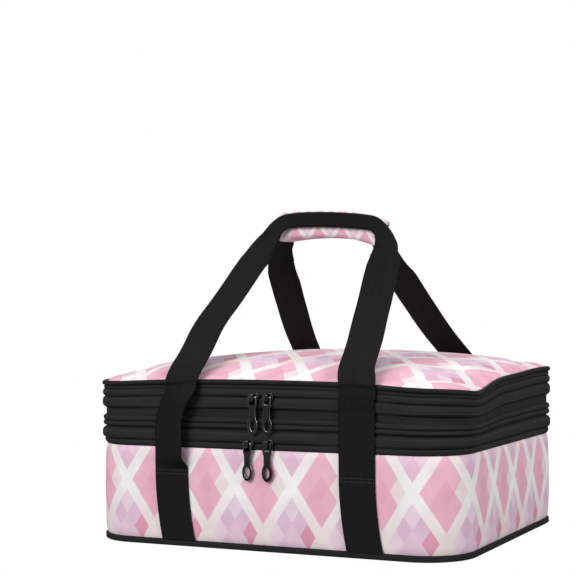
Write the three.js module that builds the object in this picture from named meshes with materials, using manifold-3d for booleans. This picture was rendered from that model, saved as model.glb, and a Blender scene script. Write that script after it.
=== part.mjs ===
// Two-tier soft casserole carrier with an expanding upper tier, shown collapsed, zipped and with its
// handles gathered. Millimetres, +Z up, front towards -Y, origin at the middle of the underside.
import * as THREE from 'three';
import { mergeVertices } from 'three/addons/utils/BufferGeometryUtils.js';
import Module from 'manifold-3d';

const wasm = await Module();
wasm.setup();

// Driving dimensions
const WIDTH = 410;
const DEPTH = 340;
const CORNER_RADIUS = 50;
const CORNER_STEPS = 7;
const FIT = 0.3;

const BINDING_HEIGHT = 6;
const BINDING_PROUD = 1.5;
const BINDING_ROUND = 0.9;
const BASE_PANEL = 3;
const BASE_BOARD = 2.5;
const WALL_HEIGHT = 94;
const WALL = 5;
const LINING = 1;

const TAPE = 2.4;
const COIL = 1.6;
const LOWER_TAPE_UNDER = 6;
const LOWER_TAPE_OVER = 11.5;
const EXPANDER_TAPE_UNDER = 5;
const EXPANDER_TAPE_OVER = 5.2;
const LID_TAPE_UNDER = 11.5;
const LID_TAPE_OVER = 8;
const TIER_BAND_HEIGHT = 2.2;
const UPPER_BAND_HEIGHT = 9;
const LID_BAND_HEIGHT = 3.5;
const BAND = 5;
const BAND_RECESS = 2.5;
const PIPING_RADIUS = 2.6;
const PIPING_SIDES = 8;
const LID_PANEL = 4;
const LID_CROWN = 26;
const LID_CROWN_POWER = 2;
const TIER_FLOOR = 3;
const GUSSET_CLOTH = 0.8;
const GUSSET_HEIGHT = 48;
const HINGE_TAPE = 0.8;
const HINGE_TAPE_WIDTH = 12;
const HINGE_TAPE_LENGTH = 150;

const WEBBING_WIDTH = 38;
const WEBBING = 2;
const STRAP_X = 103;
const SEWN_TOP = 79;
const SEWN_SKEW = 8;
const GRIP_HEIGHT = 330;
const GRIP_LENGTH = 124;
const GRIP_ARCH = 3;
const GRIP_LIFT = 6;
const LEG_DROP = 16;
const LEG_SLACK = 12;
const TURN_IN = 7;
const PAD_DEPTH = 30;
const PAD_HEIGHT = 29;
const PAD_WALL = 4;
const PAD_DROOP = 0.25;
const PAD_STEPS = 10;
const FOLDED_WEBBING = 16;
const HOOK_TAPE = 0.8;
const HOOK_TAPE_WIDTH = 12;

const SLIDER_WIDTH = 12;
const SLIDER_HEIGHT = 9;
const SLIDER_PLATE = 2.6;
const BRIDGE_WIDTH = 3.6;
const BRIDGE_GAP = 3;
const BRIDGE_WALL = 1.4;
const BRIDGE_REACH = 4.2;
const PULL_LENGTH = 37;
const PULL_PLATE = 1.8;
const PULL_BAR = 1.8;
const PULL_RAIL = 2;
const PULL_CLEAR = 0.9;
const PULL_SHANK = 7;
const PULL_BULB_WIDTH = 11.6;
const PULL_BULB_HEIGHT = 18;
const PULL_EYE_WIDTH = 5.4;
const PULL_EYE_HEIGHT = 10.6;
const PULL_EYE_STEPS = 12;
const UPPER_SLIDER_X = 8;
const LOWER_SLIDERS_X = [-14, 8];
const EXPANDER_SLIDER_Y = 60;

// Levels of the seams, from the floor up
const HALF_W = WIDTH / 2;
const HALF_D = DEPTH / 2;
const WALL_BOTTOM = BINDING_HEIGHT + FIT;
const WALL_TOP = BINDING_HEIGHT + WALL_HEIGHT;
const LOWER_ZIP = WALL_TOP + FIT + LOWER_TAPE_UNDER + FIT / 2;
const TIER_BAND_BOTTOM = LOWER_ZIP + FIT / 2 + LOWER_TAPE_OVER + FIT;
const EXPANDER = TIER_BAND_BOTTOM + TIER_BAND_HEIGHT + FIT + EXPANDER_TAPE_UNDER + FIT / 2;
const UPPER_BAND_BOTTOM = EXPANDER + FIT / 2 + EXPANDER_TAPE_OVER + FIT;
const LID_ZIP = UPPER_BAND_BOTTOM + UPPER_BAND_HEIGHT + FIT + LID_TAPE_UNDER + FIT / 2;
const LID_BAND_BOTTOM = LID_ZIP + FIT / 2 + LID_TAPE_OVER + FIT;
const LID_EDGE = LID_BAND_BOTTOM + LID_BAND_HEIGHT + FIT;
const STRAP_MIDDLE = HALF_D + FIT + WEBBING / 2;
const STRAP_JOIN = (SEWN_TOP + LID_ZIP) / 2;

const part = new THREE.Group();

const cloth = (color, roughness = 0.9) => new THREE.MeshStandardMaterial({ color, roughness, metalness: 0 });
const PRINT = 0xd98aa6;
const BLACK = 0x17181a;
const SILVER = 0xc3c7cb;
const BOARD = 0x6b6255;
const metal = () => new THREE.MeshStandardMaterial({ color: 0x202327, roughness: 0.28, metalness: 0.9 });

function addMesh(name, geometry, material) {
  const mesh = new THREE.Mesh(geometry, material);
  mesh.name = name;
  part.add(mesh);
  return mesh;
}

// Plan outline of the carrier, drawn in by an inset, anticlockwise from the rear right corner
function rim(inset) {
  const radius = CORNER_RADIUS - inset;
  const points = [];
  const centres = [[1, 1], [-1, 1], [-1, -1], [1, -1]];
  centres.forEach(([sx, sy], corner) => {
    for (let step = 0; step <= CORNER_STEPS; step += 1) {
      const angle = (corner + step / CORNER_STEPS) * Math.PI / 2;
      const x = sx * (HALF_W - CORNER_RADIUS) + radius * Math.cos(angle);
      const y = sy * (HALF_D - CORNER_RADIUS) + radius * Math.sin(angle);
      points.push([x, y]);
    }
  });
  return points;
}

// Triangles that fill a flat outline, in the outline's own order
function capFaces(outline) {
  const corners = outline.map((point) => new THREE.Vector3(...point));
  const normal = new THREE.Vector3();
  corners.forEach((point, i) => normal.add(point.clone().cross(corners[(i + 1) % corners.length])));
  const flat = new THREE.Quaternion().setFromUnitVectors(normal.normalize(), new THREE.Vector3(0, 0, 1));
  const contour = corners.map((point) => point.applyQuaternion(flat)).map(({ x, y }) => new THREE.Vector2(x, y));
  return THREE.ShapeUtils.triangulateShape(contour, []);
}

// Closed mesh from rows of points. Rows and points both wrap round where asked; open ends are capped.
function skin(rows, { wrapRows, capped }) {
  const count = rows[0].length;
  const positions = rows.flat(2);
  const index = [];
  const last = wrapRows ? rows.length : rows.length - 1;
  for (let row = 0; row < last; row += 1) {
    const next = (row + 1) % rows.length;
    for (let i = 0; i < count; i += 1) {
      const j = (i + 1) % count;
      const [a, b, c, d] = [row * count + i, row * count + j, next * count + j, next * count + i];
      index.push(a, b, c, a, c, d);
    }
  }
  if (capped) {
    const top = (rows.length - 1) * count;
    for (const [a, b, c] of capFaces(rows[0])) {
      index.push(a, c, b);
      index.push(top + a, top + b, top + c);
    }
  }
  const geometry = new THREE.BufferGeometry();
  geometry.setAttribute('position', new THREE.Float32BufferAttribute(positions, 3));
  geometry.setIndex(index);
  return geometry;
}

// A hoop all round the carrier; its section is listed as [inset, level], clockwise seen with the
// outside of the carrier to the left
function hoop(section) {
  const rows = section.map(([inset, level]) => rim(inset).map(([x, y]) => [x, y, level]));
  return skin(rows, { wrapRows: true, capped: false });
}

function band(bottom, top, inset, thickness) {
  const inner = inset + thickness;
  return hoop([[inner, bottom], [inset, bottom], [inset, top], [inner, top]]);
}

function sheet(bottom, top, inset) {
  const rows = [bottom, top].map((level) => rim(inset).map(([x, y]) => [x, y, level]));
  return skin(rows, { wrapRows: false, capped: true });
}

function merged(geometry) {
  const bare = geometry.clone();
  bare.deleteAttribute('normal');
  bare.deleteAttribute('uv');
  return mergeVertices(bare, 1e-4);
}

function toSolid(geometry) {
  const closed = merged(geometry);
  const vertProperties = new Float32Array(closed.getAttribute('position').array);
  const triVerts = new Uint32Array(closed.getIndex().array);
  return new wasm.Manifold(new wasm.Mesh({ numProp: 3, vertProperties, triVerts }));
}

function toGeometry(solid) {
  const mesh = solid.getMesh();
  const geometry = new THREE.BufferGeometry();
  geometry.setAttribute('position', new THREE.Float32BufferAttribute(mesh.vertProperties, 3));
  geometry.setIndex(Array.from(mesh.triVerts));
  return geometry;
}

// Lower compartment: base, padded wall, lining and the lower half of its zip
function lowerCompartment() {
  addMesh('base_panel', sheet(0, BASE_PANEL, WALL + FIT), cloth(BLACK));
  const boardBottom = BASE_PANEL + FIT;
  addMesh('base_board', sheet(boardBottom, boardBottom + BASE_BOARD, WALL + FIT), cloth(BOARD));
  const binding = hoop([
    [WALL, 0], [BINDING_ROUND - BINDING_PROUD, 0], [-BINDING_PROUD, BINDING_ROUND],
    [-BINDING_PROUD, BINDING_HEIGHT - BINDING_ROUND], [BINDING_ROUND - BINDING_PROUD, BINDING_HEIGHT],
    [WALL, BINDING_HEIGHT],
  ]);
  addMesh('base_binding', binding, cloth(BLACK, 0.7));
  addMesh('lower_wall', band(WALL_BOTTOM, WALL_TOP, 0, WALL), cloth(PRINT));
  const floorTop = WALL_BOTTOM + LINING;
  const outside = WALL + FIT;
  const tub = toSolid(sheet(WALL_BOTTOM, WALL_TOP - FIT, outside));
  const hollow = toSolid(sheet(floorTop, WALL_TOP + LINING, outside + LINING));
  addMesh('lower_lining', toGeometry(tub.subtract(hollow)), cloth(SILVER, 0.35));
  zipHalf('lower', 'bottom', LOWER_ZIP, LOWER_TAPE_UNDER);
}

// Half of a zip, above or below the line where its halves meet: the tape and, sewn along the tape's
// inner face, its reverse coil
function zipHalf(zip, half, line, height) {
  const isTop = half === 'top';
  const edge = isTop ? line + FIT / 2 : line - FIT / 2;
  const strip = (reach, inset, thickness) => (isTop
    ? band(edge, edge + reach, inset, thickness)
    : band(edge - reach, edge, inset, thickness));
  addMesh(`${zip}_zip_tape_${half}`, strip(height, 0, TAPE), cloth(BLACK));
  addMesh(`${zip}_zip_coil_${half}`, strip(COIL, TAPE + FIT, COIL), cloth(BLACK, 0.5));
}

// A seam band that lies deeper than the tapes above and below it
function recessedBand(bottom, height) {
  return band(bottom, bottom + height, BAND_RECESS, BAND - BAND_RECESS);
}

// Upper tier: its floor, the seam band, the lower half of the expander zip and the folded gusset
function tier() {
  zipHalf('lower', 'top', LOWER_ZIP, LOWER_TAPE_OVER);
  addMesh('tier_band', recessedBand(TIER_BAND_BOTTOM, TIER_BAND_HEIGHT), cloth(BLACK));
  addMesh('tier_floor', sheet(TIER_BAND_BOTTOM, TIER_BAND_BOTTOM + TIER_FLOOR, BAND + FIT), cloth(SILVER, 0.4));
  zipHalf('expander', 'bottom', EXPANDER, EXPANDER_TAPE_UNDER);
  const near = TAPE + FIT + COIL + FIT;
  const deep = near + GUSSET_HEIGHT / 2;
  const foot = EXPANDER - GUSSET_CLOTH - FIT / 2;
  const head = EXPANDER + FIT / 2;
  const fold = hoop([
    [near, foot], [near, foot + GUSSET_CLOTH], [deep - GUSSET_CLOTH, foot + GUSSET_CLOTH],
    [deep - GUSSET_CLOTH, head], [near, head], [near, head + GUSSET_CLOTH],
    [deep, head + GUSSET_CLOTH], [deep, foot],
  ]);
  addMesh('gusset', fold, cloth(PRINT));
  addMesh('tier_hinge_tape', hingeTape(LOWER_ZIP), cloth(BLACK));
}

// Cloth hinge sewn across the two tapes at the middle of the rear wall
function hingeTape(level) {
  const geometry = new THREE.BoxGeometry(HINGE_TAPE_LENGTH, HINGE_TAPE, HINGE_TAPE_WIDTH);
  geometry.translate(0, HALF_D + FIT + HINGE_TAPE / 2, level);
  return geometry;
}

// Upper ring between the expander zip and the lid zip
function upperRing() {
  zipHalf('expander', 'top', EXPANDER, EXPANDER_TAPE_OVER);
  addMesh('upper_band', recessedBand(UPPER_BAND_BOTTOM, UPPER_BAND_HEIGHT), cloth(BLACK));
  const liningBottom = EXPANDER + FIT + GUSSET_CLOTH + FIT;
  const liningTop = LID_ZIP - FIT / 2 - COIL - FIT;
  addMesh('upper_lining', band(liningBottom, liningTop, BAND + FIT, LINING), cloth(SILVER, 0.35));
  zipHalf('lid', 'bottom', LID_ZIP, LID_TAPE_UNDER);
}

// Crowned, padded lid with its zip tape, side band, corded edge and lining
function lid() {
  zipHalf('lid', 'top', LID_ZIP, LID_TAPE_OVER);
  addMesh('lid_band', band(LID_BAND_BOTTOM, LID_EDGE - FIT, 0, BAND), cloth(BLACK));
  const section = [];
  for (let side = 0; side < PIPING_SIDES; side += 1) {
    const angle = side / PIPING_SIDES * 2 * Math.PI;
    const inset = PIPING_RADIUS - BINDING_PROUD + PIPING_RADIUS * Math.cos(angle);
    section.push([inset, LID_EDGE + PIPING_RADIUS * (1 - Math.sin(angle))]);
  }
  addMesh('lid_piping', hoop(section), cloth(BLACK, 0.7));
  const panelEdge = 2 * PIPING_RADIUS - BINDING_PROUD + FIT;
  addMesh('lid_panel', crown(LID_EDGE + LINING + FIT, LID_PANEL, panelEdge), cloth(PRINT));
  addMesh('lid_lining', crown(LID_EDGE, LINING, panelEdge), cloth(SILVER, 0.35));
  addMesh('lid_hinge_tape', hingeTape(LID_ZIP), cloth(BLACK));
}

// A sheet of even thickness that swells from its edge to the middle
function crown(bottom, thickness, inset) {
  const spread = [1, 0.94, 0.86, 0.74, 0.58, 0.38, 0.16];
  const edge = rim(inset);
  const rise = (share) => LID_CROWN * (1 - share ** LID_CROWN_POWER);
  const layer = (share, lift) => edge.map(([x, y]) => [x * share, y * share, bottom + rise(share) + lift]);
  const under = spread.slice().reverse().map((share) => layer(share, 0));
  const over = spread.map((share) => layer(share, thickness));
  return skin([...under, ...over], { wrapRows: false, capped: true });
}

// Flat webbing through stations of centre, direction across, outward normal and width
function webbing(stations) {
  const rows = stations.map(({ centre, across, out, width }) => {
    const corner = (a, b) => centre.clone()
      .addScaledVector(across, a * width / 2)
      .addScaledVector(out, b * WEBBING / 2)
      .toArray();
    return [corner(-1, 1), corner(1, 1), corner(1, -1), corner(-1, -1)];
  });
  return skin(rows, { wrapRows: false, capped: true });
}

// Straight run of webbing up the front face, between two ends listed as [sideways shift, level]
function uprightRun(x, ends) {
  const across = new THREE.Vector3(1, 0, 0);
  const out = new THREE.Vector3(0, -1, 0);
  return webbing(ends.map(([shift, level]) => ({
    centre: new THREE.Vector3(x + shift, -STRAP_MIDDLE, level), across, out, width: WEBBING_WIDTH,
  })));
}

// One handle above the lid zip, as seen at the front: up past the lid edge, in over the lid with some
// slack, narrowing as it turns up past the end of the wrap to a folded run along the grip, and down the
// other side
function handleWebbing(gripY, gripLevel) {
  const edgeLevel = LID_EDGE + 2 * PIPING_RADIUS;
  const legTop = GRIP_HEIGHT - LEG_DROP;
  const gripHalf = GRIP_LENGTH / 2;
  const stretch = (share) => THREE.MathUtils.lerp(edgeLevel, legTop, share);
  const edgeY = -STRAP_MIDDLE - BINDING_PROUD;
  const slack = (share) => LEG_SLACK * 4 * share * (1 - share);
  const inward = (share) => THREE.MathUtils.lerp(edgeY, gripY, share) + slack(share);
  const sideways = (share) => THREE.MathUtils.lerp(STRAP_X, gripHalf + TURN_IN, share);
  const turnLevel = THREE.MathUtils.lerp(legTop, gripLevel, 0.7);
  const half = [
    { x: STRAP_X, y: -STRAP_MIDDLE, level: LID_ZIP + FIT, width: WEBBING_WIDTH, lean: 0 },
    { x: STRAP_X, y: edgeY, level: LID_EDGE, width: WEBBING_WIDTH, lean: 0 },
    { x: STRAP_X, y: edgeY, level: edgeLevel, width: WEBBING_WIDTH, lean: 0.3 },
    { x: sideways(0.1), y: inward(0.05), level: stretch(0.1), width: WEBBING_WIDTH, lean: 0.7 },
    { x: sideways(0.5), y: inward(0.5), level: stretch(0.5), width: WEBBING_WIDTH, lean: 0.8 },
    { x: sideways(0.84), y: inward(0.86), level: stretch(0.84), width: WEBBING_WIDTH * 0.8, lean: 0.75 },
    { x: sideways(1), y: inward(0.92), level: legTop, width: FOLDED_WEBBING * 1.3, lean: 0.4 },
    { x: gripHalf + TURN_IN / 2, y: inward(0.95), level: turnLevel, width: FOLDED_WEBBING * 1.1, lean: 0.2 },
    { x: gripHalf - TURN_IN, y: gripY, level: gripLevel + GRIP_ARCH * 0.2, width: FOLDED_WEBBING, lean: 0 },
    { x: gripHalf / 2, y: gripY, level: gripLevel + GRIP_ARCH * 0.75, width: FOLDED_WEBBING, lean: 0 },
  ];
  const middle = { x: 0, y: gripY, level: gripLevel + GRIP_ARCH, width: FOLDED_WEBBING, lean: 0 };
  const mirrored = half.map((point) => ({ ...point, x: -point.x })).reverse();
  const path = [...half, middle, ...mirrored];
  const points = path.map(({ x, y, level }) => new THREE.Vector3(x, y, level));
  return webbing(path.map(({ lean, width }, i) => {
    const before = points[Math.max(i - 1, 0)];
    const after = points[Math.min(i + 1, points.length - 1)];
    const along = after.clone().sub(before).normalize();
    const facing = new THREE.Vector3(0, -Math.cos(lean), Math.sin(lean));
    const across = facing.cross(along).negate().normalize();
    const out = along.clone().cross(across).negate().normalize();
    return { centre: points[i], across, out, width };
  }));
}

// Padded wrap, sewn to the front handle as a channel that cups the rear one
function gripPad() {
  const lip = PAD_HEIGHT / 2 - PAD_WALL;
  const front = -PAD_DEPTH / 2;
  const round = PAD_WALL;
  const section = [
    [-front, lip], [-front, PAD_HEIGHT / 2], [front + round, PAD_HEIGHT / 2],
    [front, PAD_HEIGHT / 2 - round], [front, round - PAD_HEIGHT / 2],
    [front + round, -PAD_HEIGHT / 2], [-front, -PAD_HEIGHT / 2], [-front, -lip],
    [front + PAD_WALL, -lip], [front + PAD_WALL, lip],
  ];
  return gripRun(section, 0);
}

// A section of [y, z] points carried along the arch of the grip, short of its ends by some steps
function gripRun(section, stepsShort) {
  const rows = [];
  for (let step = stepsShort; step <= PAD_STEPS - stepsShort; step += 1) {
    const share = 2 * step / PAD_STEPS - 1;
    rows.push(section.map(([y, z]) => {
      const droop = z < 0 ? 1 + PAD_DROOP * share ** 2 : 1;
      return [share * GRIP_LENGTH / 2, y, GRIP_HEIGHT + GRIP_ARCH * (1 - share ** 2) + z * droop];
    }));
  }
  return skin(rows, { wrapRows: false, capped: true });
}

// Hook tape under the upper lip of the wrap (side 1) and loop tape over the lower one (side -1)
function closureTape(side) {
  const rear = PAD_DEPTH / 2;
  const face = side * (PAD_HEIGHT / 2 - PAD_WALL - FIT);
  const [high, low] = side > 0 ? [face, face - HOOK_TAPE] : [face + HOOK_TAPE, face];
  const section = [[rear, low], [rear, high], [rear - HOOK_TAPE_WIDTH, high], [rear - HOOK_TAPE_WIDTH, low]];
  return gripRun(section, 1);
}

// Zip slider facing the front: a waisted plate with a bridge that holds the pull's bar
function sliderGeometry() {
  const halfW = SLIDER_WIDTH / 2;
  const halfH = SLIDER_HEIGHT / 2;
  const plate = new THREE.Shape();
  plate.moveTo(-halfW, -halfH * 0.7);
  plate.lineTo(halfW * 0.5, -halfH);
  plate.quadraticCurveTo(halfW, -halfH, halfW, 0);
  plate.quadraticCurveTo(halfW, halfH, halfW * 0.5, halfH);
  plate.lineTo(-halfW, halfH * 0.7);
  plate.closePath();
  const plateGeometry = new THREE.ExtrudeGeometry(plate, {
    depth: SLIDER_PLATE, bevelEnabled: false, curveSegments: 4,
  });
  plateGeometry.rotateX(Math.PI / 2);
  const reach = BRIDGE_REACH - BRIDGE_WALL;
  const sunk = SLIDER_PLATE / 2;
  const arch = new THREE.Shape();
  arch.moveTo(-BRIDGE_REACH, sunk);
  arch.lineTo(-reach, sunk);
  arch.lineTo(-reach, SLIDER_PLATE + BRIDGE_GAP);
  arch.lineTo(reach, SLIDER_PLATE + BRIDGE_GAP);
  arch.lineTo(reach, sunk);
  arch.lineTo(BRIDGE_REACH, sunk);
  arch.lineTo(BRIDGE_REACH, SLIDER_PLATE + BRIDGE_GAP);
  arch.lineTo(reach, SLIDER_PLATE + BRIDGE_GAP + BRIDGE_WALL);
  arch.lineTo(-reach, SLIDER_PLATE + BRIDGE_GAP + BRIDGE_WALL);
  arch.lineTo(-BRIDGE_REACH, SLIDER_PLATE + BRIDGE_GAP);
  arch.closePath();
  const archGeometry = new THREE.ExtrudeGeometry(arch, { depth: BRIDGE_WIDTH, bevelEnabled: false });
  archGeometry.translate(0, 0, -BRIDGE_WIDTH / 2);
  archGeometry.applyMatrix4(new THREE.Matrix4().makeBasis(
    new THREE.Vector3(0, 0, 1), new THREE.Vector3(0, -1, 0), new THREE.Vector3(1, 0, 0),
  ));
  return toGeometry(toSolid(plateGeometry).add(toSolid(archGeometry)));
}

// Zip pull hanging from its bar: a window for the bridge, a narrow shank and a bulb with an oval hole
function pullGeometry() {
  const halfTop = BRIDGE_WIDTH / 2 + PULL_CLEAR + PULL_RAIL;
  const windowEnd = BRIDGE_REACH + PULL_CLEAR * 3;
  const shoulder = windowEnd + PULL_RAIL;
  const bulbMiddle = PULL_LENGTH - PULL_BULB_HEIGHT / 2;
  const bulbStart = Math.acos(PULL_SHANK / PULL_BULB_WIDTH);
  const shape = new THREE.Shape();
  shape.moveTo(-halfTop, PULL_BAR / 2);
  shape.lineTo(halfTop, PULL_BAR / 2);
  shape.lineTo(halfTop, -windowEnd - PULL_RAIL / 2);
  shape.quadraticCurveTo(halfTop, -shoulder, PULL_SHANK / 2, -shoulder - PULL_RAIL);
  shape.absellipse(
    0, -bulbMiddle, PULL_BULB_WIDTH / 2, PULL_BULB_HEIGHT / 2, bulbStart, Math.PI - bulbStart, true,
  );
  shape.lineTo(-PULL_SHANK / 2, -shoulder - PULL_RAIL);
  shape.quadraticCurveTo(-halfTop, -shoulder, -halfTop, -windowEnd - PULL_RAIL / 2);
  shape.closePath();
  const frame = new THREE.Path();
  frame.moveTo(PULL_RAIL - halfTop, -PULL_BAR / 2);
  frame.lineTo(PULL_RAIL - halfTop, -windowEnd);
  frame.lineTo(halfTop - PULL_RAIL, -windowEnd);
  frame.lineTo(halfTop - PULL_RAIL, -PULL_BAR / 2);
  frame.closePath();
  const eyePoints = [];
  for (let step = 0; step < PULL_EYE_STEPS; step += 1) {
    const angle = step / PULL_EYE_STEPS * 2 * Math.PI;
    const reach = new THREE.Vector2(PULL_EYE_WIDTH * Math.cos(angle), PULL_EYE_HEIGHT * Math.sin(angle));
    eyePoints.push(reach.multiplyScalar(0.5).add(new THREE.Vector2(0, -bulbMiddle)));
  }
  shape.holes.push(frame, new THREE.Path(eyePoints));
  const geometry = new THREE.ExtrudeGeometry(shape, { depth: PULL_PLATE, bevelEnabled: false, curveSegments: 5 });
  geometry.rotateX(Math.PI / 2);
  geometry.translate(0, PULL_PLATE / 2, 0);
  return geometry;
}

// A slider and its pull, seated on a face so far from the middle and turned from the front to that face
function zipSlider(name, x, level, face, turn) {
  const seat = face + FIT;
  const facing = new THREE.Group();
  facing.rotation.z = turn;
  const slider = new THREE.Mesh(sliderGeometry(), metal());
  slider.name = `${name}_slider`;
  slider.position.set(x, -seat, level);
  const pull = new THREE.Mesh(pullGeometry(), metal());
  pull.name = `${name}_pull`;
  pull.position.set(x, -seat - SLIDER_PLATE - BRIDGE_GAP / 2, level);
  facing.add(slider, pull);
  part.add(facing);
}

// Webbing of one handle on one face, in stretches between the places where it bends
function strapStretches(place, turn) {
  for (const hand of [-1, 1]) {
    const name = `${place}_${hand * Math.cos(turn) < 0 ? 'left' : 'right'}_strap`;
    const stretches = [
      ['sewn', [SEWN_SKEW, BINDING_HEIGHT + FIT], [0, SEWN_TOP - FIT]],
      ['riser', [0, SEWN_TOP], [0, STRAP_JOIN - FIT]],
      ['lift', [0, STRAP_JOIN], [0, LID_ZIP]],
    ];
    for (const [stretch, ...ends] of stretches) {
      const geometry = uprightRun(hand * STRAP_X, ends);
      addMesh(`${name}_${stretch}`, geometry.rotateZ(turn), cloth(BLACK, 0.8));
    }
  }
}

const REAR = Math.PI;
const LEFT = -Math.PI / 2;
lowerCompartment();
tier();
upperRing();
lid();
strapStretches('front', 0);
strapStretches('rear', REAR);
const outsideWrap = -(PAD_DEPTH / 2 + FIT + WEBBING / 2);
addMesh('front_handle_webbing', handleWebbing(outsideWrap, GRIP_HEIGHT + GRIP_LIFT), cloth(BLACK, 0.8));
const insideWrap = -(PAD_DEPTH / 2 - HOOK_TAPE_WIDTH / 2);
addMesh('rear_handle_webbing', handleWebbing(insideWrap, GRIP_HEIGHT).rotateZ(REAR), cloth(BLACK, 0.8));
addMesh('grip_wrap', gripPad(), cloth(PRINT));
addMesh('grip_hook_tape', closureTape(1), cloth(BLACK));
addMesh('grip_loop_tape', closureTape(-1), cloth(BLACK));
zipSlider('upper_left', -UPPER_SLIDER_X, LID_ZIP, HALF_D, 0);
zipSlider('upper_right', UPPER_SLIDER_X, LID_ZIP, HALF_D, 0);
zipSlider('lower_left', LOWER_SLIDERS_X[0], LOWER_ZIP, HALF_D, 0);
zipSlider('lower_right', LOWER_SLIDERS_X[1], LOWER_ZIP, HALF_D, 0);
zipSlider('expander', -EXPANDER_SLIDER_Y, EXPANDER, HALF_W, LEFT);

export default part;
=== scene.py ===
import math

import bmesh
import bpy
from mathutils import Matrix, Vector, noise


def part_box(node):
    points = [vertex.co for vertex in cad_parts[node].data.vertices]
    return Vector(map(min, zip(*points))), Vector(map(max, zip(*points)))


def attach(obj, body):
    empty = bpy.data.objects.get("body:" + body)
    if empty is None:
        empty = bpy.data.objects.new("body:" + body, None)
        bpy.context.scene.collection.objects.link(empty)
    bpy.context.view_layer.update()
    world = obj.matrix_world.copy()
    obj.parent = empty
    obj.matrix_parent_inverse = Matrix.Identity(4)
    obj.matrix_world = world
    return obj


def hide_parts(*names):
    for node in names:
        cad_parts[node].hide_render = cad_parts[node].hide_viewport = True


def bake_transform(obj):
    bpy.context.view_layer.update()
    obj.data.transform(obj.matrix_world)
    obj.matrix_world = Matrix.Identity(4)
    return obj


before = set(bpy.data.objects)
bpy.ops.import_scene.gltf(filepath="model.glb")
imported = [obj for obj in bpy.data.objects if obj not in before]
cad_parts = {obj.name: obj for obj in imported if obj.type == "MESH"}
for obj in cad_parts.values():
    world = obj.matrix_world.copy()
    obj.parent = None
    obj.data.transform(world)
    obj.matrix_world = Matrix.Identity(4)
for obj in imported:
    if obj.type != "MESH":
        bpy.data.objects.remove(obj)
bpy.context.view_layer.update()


# Studio. White all round, as in a cut-out picture, brighter from above than from below, with broad soft
# lamps above the front, at the right and overhead. The camera is level and looks in from the front right.
def add_node(tree, kind, inputs=None, **settings):
    """Adds a node; inputs maps sockets, by name or number, to values or to other nodes' sockets."""
    made = tree.nodes.new(kind)
    for setting, value in settings.items():
        setattr(made, setting, value)
    for socket, value in (inputs or {}).items():
        if isinstance(value, bpy.types.NodeSocket):
            tree.links.new(value, made.inputs[socket])
        else:
            made.inputs[socket].default_value = value
    return made


def new_finish(name, source, **sockets):
    """A new material, its tree and shader, and places on the piece by UV or Object coordinates; sockets are
    the values that hold all over it, with _ for spaces in their names."""
    material = bpy.data.materials.new(name)
    material.use_nodes = True
    shader = material.node_tree.nodes["Principled BSDF"]
    for socket, value in sockets.items():
        shader.inputs[socket.replace("_", " ")].default_value = value
    place = add_node(material.node_tree, "ShaderNodeTexCoord").outputs[source]
    return material, material.node_tree, shader, place


def shade(red, green, blue):
    """A colour given in screen values, as the linear colour that a shader takes."""
    screen = [value / 255 for value in (red, green, blue)]
    return tuple(v / 12.92 if v <= 0.04045 else ((v + 0.055) / 1.055) ** 2.4 for v in screen) + (1.0,)


surround = bpy.data.worlds.new("surround")
surround.use_nodes = True
tree = surround.node_tree
seen = add_node(tree, "ShaderNodeLightPath").outputs["Is Camera Ray"]
heading = add_node(tree, "ShaderNodeSeparateXYZ", {0: add_node(tree, "ShaderNodeTexCoord").outputs["Generated"]})
from_above = add_node(tree, "ShaderNodeMapRange", {
    0: heading.outputs["Z"], 1: -0.3, 2: 0.3, 3: 0.20, 4: 0.56})
glow = add_node(tree, "ShaderNodeMath", {0: seen, 1: from_above.outputs[0]}, operation="MAXIMUM")
tree.links.new(glow.outputs[0], tree.nodes["Background"].inputs["Strength"])
tree.nodes["Background"].inputs["Color"].default_value = (1.0, 1.0, 1.0, 1.0)
bpy.context.scene.world = surround
bpy.context.scene.view_settings.view_transform = "Standard"


def placed(name, data):
    """Puts new data into the scene as an object."""
    made = bpy.data.objects.new(name, data)
    bpy.context.scene.collection.objects.link(made)
    return made


LAMP_AIM = Vector((0, 0, 0.1))
for name, place, size, power in (
        ("key_lamp", (-0.7, -2.6, 1.5), 1.6, 60),
        ("side_lamp", (2.3, -0.6, 1.3), 1.4, 31),
        ("top_lamp", (0.0, 0.4, 2.6), 2.0, 5)):
    lamp = bpy.data.lights.new(name, "AREA")
    lamp.shape = "DISK"
    lamp.size = size
    lamp.energy = power
    holder = placed(name, lamp)
    holder.location = place
    holder.rotation_euler = (LAMP_AIM - Vector(place)).to_track_quat("-Z", "Y").to_euler()

camera_lens = bpy.data.cameras.new("camera")
camera_lens.sensor_width = 36.0
camera_lens.lens = 88.84
camera_lens.shift_x = -0.0903
camera_lens.shift_y = 0.0448
camera = placed("camera", camera_lens)
camera.location = (0.6526, -1.4186, 0.235)
camera.rotation_euler = (math.radians(90), math.radians(0.3), math.radians(24.42))
bpy.context.scene.camera = camera


# Base. A black cloth panel under a stiffening board, edged all round by a folded bias binding that is
# sewn over the foot of the wall, so the binding stands a little proud.
wall_low, wall_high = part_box("lower_wall")
HALF_WIDTH = wall_high.x
HALF_DEPTH = wall_high.y
CORNER = 0.050
FLAT_W = HALF_WIDTH - CORNER
FLAT_D = HALF_DEPTH - CORNER
QUARTER = CORNER * math.pi / 2
PERIMETER = 4 * (FLAT_W + FLAT_D + QUARTER)


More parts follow.
